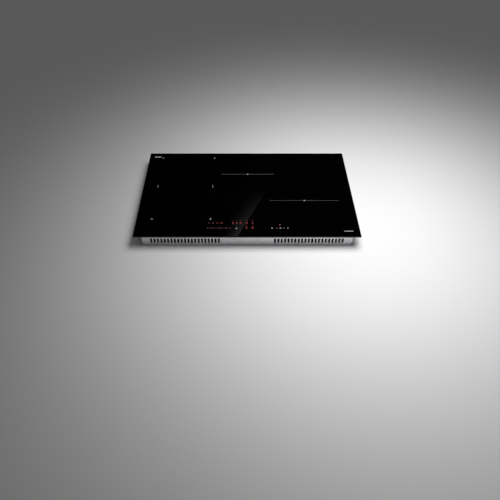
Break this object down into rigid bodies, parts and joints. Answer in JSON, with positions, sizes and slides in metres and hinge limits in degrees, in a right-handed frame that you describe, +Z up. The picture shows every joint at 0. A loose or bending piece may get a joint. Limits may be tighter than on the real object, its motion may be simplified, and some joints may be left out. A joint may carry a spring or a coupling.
{
  "type": "induction hob",
  "caption": "Built-in induction hob with a black glass top, zone markings, red touch control and a flat steel casing with blowers, sprung coils and swing-out worktop clamps.",
  "frame": {"origin": "middle of the underside of the steel casing, under the centre of the glass", "axes": "+Z is up, out of the glass; +Y is towards the back, away from the user; +X is to the right of a user at the control"},
  "size_m": [0.8, 0.51, 0.054],
  "materials": {
    "black_glass": "polished black glass-ceramic, mirror smooth",
    "foam": "closed-cell foam tape, matt",
    "silicone": "cured silicone, satin",
    "galvanised": "galvanised sheet with a fine spangle",
    "zinc": "zinc-plated steel, satin",
    "spring": "spring steel wire",
    "brass": "turned brass, satin",
    "aluminium": "rolled and extruded aluminium, satin",
    "ferrite": "sintered ferrite, matt dark grey",
    "copper": "enamelled stranded copper, varnished",
    "former_plastic": "glass-filled plastic, matt",
    "mica": "pressed mica sheet, flecked",
    "sensor_rubber": "silicone rubber, matt",
    "black_plastic": "moulded plastic, fine grain",
    "circuit_board": "solder-masked laminate, semi-gloss",
    "film_box": "moulded box, glossy",
    "epoxy": "moulded epoxy, matt",
    "pale_plastic": "moulded plastic, matt",
    "red_lamp": "tinted display body with lit segments",
    "rubber": "moulded rubber, matt",
    "wire_cover": "silicone wire cover, satin"
  },
  "bodies": {
    "casing": {"base_pan": "galvanised", "cable_clamp": "black_plastic", "cable_grommet": "rubber", "capacitors": "film_box", "carrier_frame": "galvanised", "casing_screws": "zinc", "chokes": "copper", "clamp_screws": "zinc", "control_board": "circuit_board", "control_carrier": "black_plastic", "deck_springs_left": "spring", "deck_springs_right": "spring", "display_modules": "red_lamp", "fan_housing_left": "black_plastic", "fan_housing_right": "black_plastic", "glass_adhesive": "silicone", "glass_plate": "black_glass", "heat_sink_left": "aluminium", "heat_sink_right": "aluminium", "power_board_left": "circuit_board", "power_board_right": "circuit_board", "power_transistors": "epoxy", "relays": "pale_plastic", "seal_strips": "foam", "terminal_block": "pale_plastic", "terminal_cover": "black_plastic", "touch_springs": "zinc", "tray_left": "black_plastic", "tray_right": "black_plastic", "wiring": "wire_cover"},
    "nut_left_front": {"clamp_nut_left_front": "brass"},
    "arm_left_front": {"clamp_arm_left_front": "zinc"},
    "nut_left_rear": {"clamp_nut_left_rear": "brass"},
    "arm_left_rear": {"clamp_arm_left_rear": "zinc"},
    "nut_right_front": {"clamp_nut_right_front": "brass"},
    "arm_right_front": {"clamp_arm_right_front": "zinc"},
    "nut_right_rear": {"clamp_nut_right_rear": "brass"},
    "arm_right_rear": {"clamp_arm_right_rear": "zinc"},
    "coil_deck_left": {"deck_left": "aluminium", "ferrites_left": "ferrite", "former_flex_rear": "former_plastic", "coil_flex_rear": "copper", "insulation_flex_rear": "mica", "sensor_flex_rear": "sensor_rubber", "former_flex_front": "former_plastic", "coil_flex_front": "copper", "insulation_flex_front": "mica", "sensor_flex_front": "sensor_rubber"},
    "rotor_left": {"fan_rotor_left": "black_plastic"},
    "coil_deck_right": {"deck_right": "aluminium", "ferrites_right": "ferrite", "former_middle": "former_plastic", "coil_middle": "copper", "insulation_middle": "mica", "sensor_middle": "sensor_rubber", "former_right": "former_plastic", "coil_right": "copper", "insulation_right": "mica", "sensor_right": "sensor_rubber"},
    "rotor_right": {"fan_rotor_right": "black_plastic"}
  },
  "joints": [
    {"name": "rotor_left_spin", "type": "hinge", "parent": "casing", "child": "rotor_left", "pos_m": [-0.13, 0.143, 0.014], "axis": [0, 0, 1], "continuous": true},
    {"name": "rotor_right_spin", "type": "hinge", "parent": "casing", "child": "rotor_right", "pos_m": [0.13, 0.143, 0.014], "axis": [0, 0, 1], "continuous": true},
    {"name": "coil_deck_left_press", "type": "slide", "parent": "casing", "child": "coil_deck_left", "axis": [0, 0, 1], "range_m": [-0.003, 0], "stiffness_N_per_m": 3000, "springref_m": 0.014, "deforming": ["deck_springs_left"]},
    {"name": "coil_deck_right_press", "type": "slide", "parent": "casing", "child": "coil_deck_right", "axis": [0, 0, 1], "range_m": [-0.003, 0], "stiffness_N_per_m": 3000, "springref_m": 0.014, "deforming": ["deck_springs_right"]},
    {"name": "nut_left_front_climb", "type": "slide", "parent": "casing", "child": "nut_left_front", "axis": [0, 0, 1], "range_m": [0, 0.018]},
    {"name": "arm_left_front_swing", "type": "hinge", "parent": "nut_left_front", "child": "arm_left_front", "pos_m": [-0.365, -0.182, 0.0136], "axis": [0, 0, 1], "range_deg": [0, 90]},
    {"name": "nut_left_rear_climb", "type": "slide", "parent": "casing", "child": "nut_left_rear", "axis": [0, 0, 1], "range_m": [0, 0.018]},
    {"name": "arm_left_rear_swing", "type": "hinge", "parent": "nut_left_rear", "child": "arm_left_rear", "pos_m": [-0.365, 0.182, 0.0136], "axis": [0, 0, 1], "range_deg": [-90, 0]},
    {"name": "nut_right_front_climb", "type": "slide", "parent": "casing", "child": "nut_right_front", "axis": [0, 0, 1], "range_m": [0, 0.018]},
    {"name": "arm_right_front_swing", "type": "hinge", "parent": "nut_right_front", "child": "arm_right_front", "pos_m": [0.365, -0.182, 0.0136], "axis": [0, 0, 1], "range_deg": [-90, 0]},
    {"name": "nut_right_rear_climb", "type": "slide", "parent": "casing", "child": "nut_right_rear", "axis": [0, 0, 1], "range_m": [0, 0.018]},
    {"name": "arm_right_rear_swing", "type": "hinge", "parent": "nut_right_rear", "child": "arm_right_rear", "pos_m": [0.365, 0.182, 0.0136], "axis": [0, 0, 1], "range_deg": [0, 90]}
  ]
}
